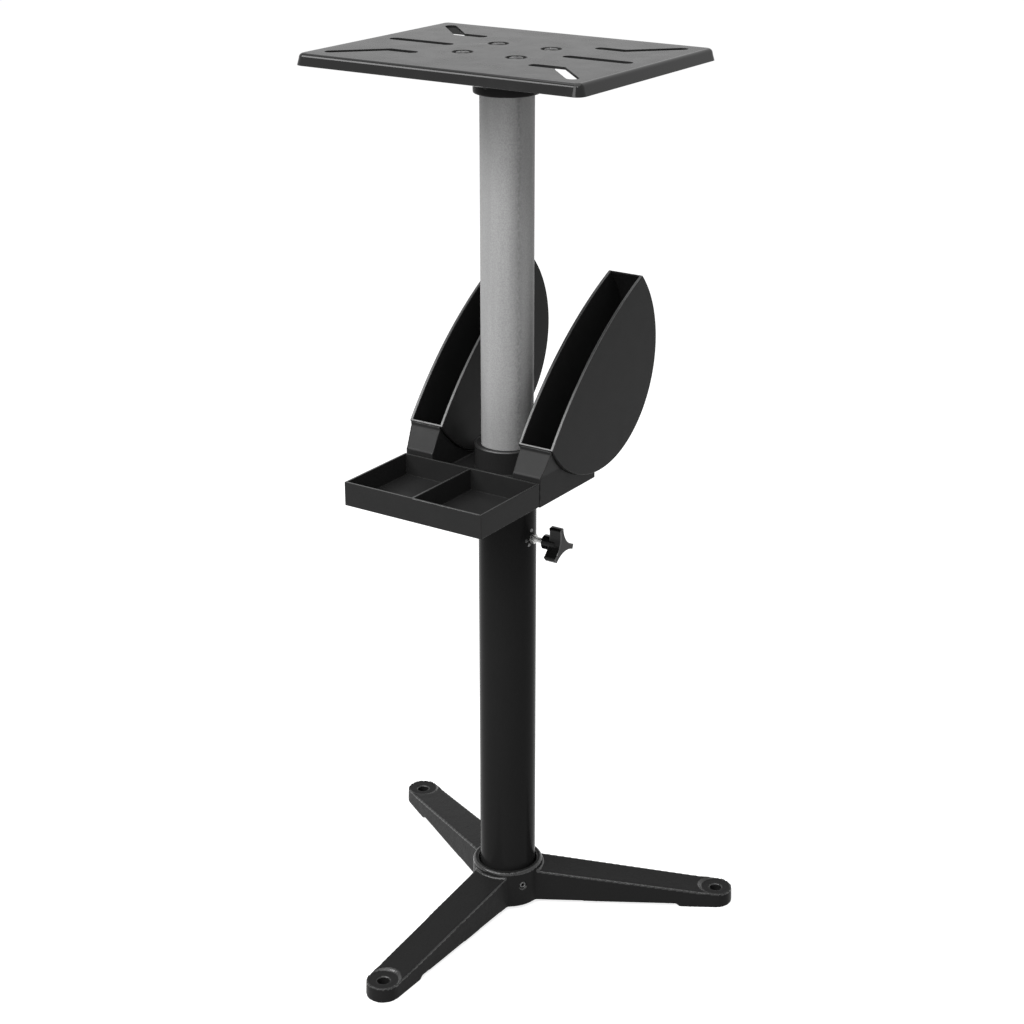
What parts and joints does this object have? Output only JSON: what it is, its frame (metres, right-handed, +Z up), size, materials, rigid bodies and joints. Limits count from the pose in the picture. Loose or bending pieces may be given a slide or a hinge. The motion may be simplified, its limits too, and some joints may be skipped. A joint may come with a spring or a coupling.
{
  "type": "bench grinder stand",
  "caption": "Floor stand for a bench grinder: cast legged base, telescopic column with a knob lock, moulded parts tray with wheel pockets, and a slotted mounting plate on top.",
  "frame": {"origin": "on the floor, under the middle of the stand's box", "axes": "+Z up along the column, -Y to the front where the parts tray is, +X to the side of the lock knob"},
  "size_m": [0.4594, 0.4202, 0.979],
  "materials": {
    "base_casting": "black paint over a cast skin",
    "black_tube": "satin black paint",
    "silver_tube": "dull plated tube",
    "plate_coat": "semi-gloss black coat",
    "flange_casting": "black paint over a cast skin",
    "tray_plastic": "satin moulded plastic",
    "knob_plastic": "glossy moulded plastic",
    "bush_plastic": "plain moulded plastic",
    "zinc_steel": "bright zinc plate",
    "black_steel": "black oxide"
  },
  "bodies": {
    "stand": {"tripod_base": "base_casting", "base_set_screw_1": "black_steel", "base_set_screw_2": "black_steel", "base_set_screw_3": "black_steel", "lower_tube": "black_tube", "clamp_nut": "zinc_steel"},
    "slider": {"guide_bush": "bush_plastic"},
    "head": {"upper_tube": "silver_tube", "top_flange": "flange_casting", "flange_set_screw": "black_steel", "top_plate": "plate_coat", "plate_screw_1": "black_steel", "plate_screw_2": "black_steel", "plate_screw_3": "black_steel", "plate_screw_4": "black_steel", "plate_washer_1": "zinc_steel", "plate_washer_2": "zinc_steel", "plate_washer_3": "zinc_steel", "plate_washer_4": "zinc_steel", "plate_nut_1": "zinc_steel", "plate_nut_2": "zinc_steel", "plate_nut_3": "zinc_steel", "plate_nut_4": "zinc_steel"},
    "stud": {"lock_stud": "zinc_steel"},
    "knob": {"lock_knob": "knob_plastic"},
    "tray": {"tray_bracket": "tray_plastic", "parts_tray": "tray_plastic", "wheel_pocket_left": "tray_plastic", "wheel_pocket_right": "tray_plastic"}
  },
  "joints": [
    {"name": "column_height", "type": "slide", "parent": "stand", "child": "slider", "axis": [0, 0, 1], "range_m": [-0.225, 0.088]},
    {"name": "head_swivel", "type": "hinge", "parent": "slider", "child": "head", "pos_m": [0, 0.05215, 0.65], "axis": [0, 0, 1], "continuous": true},
    {"name": "stud_advance", "type": "slide", "parent": "stand", "child": "stud", "axis": [1, 0, 0], "range_m": [0, 0.003]},
    {"name": "knob_turn", "type": "hinge", "parent": "stud", "child": "knob", "pos_m": [0.06, 0.05215, 0.4578], "axis": [1, 0, 0], "range_deg": [0, 1080]},
    {"name": "tray_swivel", "type": "hinge", "parent": "stand", "child": "tray", "pos_m": [0, 0.05215, 0.55], "axis": [0, 0, 1], "continuous": true}
  ],
  "couplings": [
    {"joint": "stud_advance", "follows": "knob_turn", "m_per_rad": 0.00015915}
  ]
}
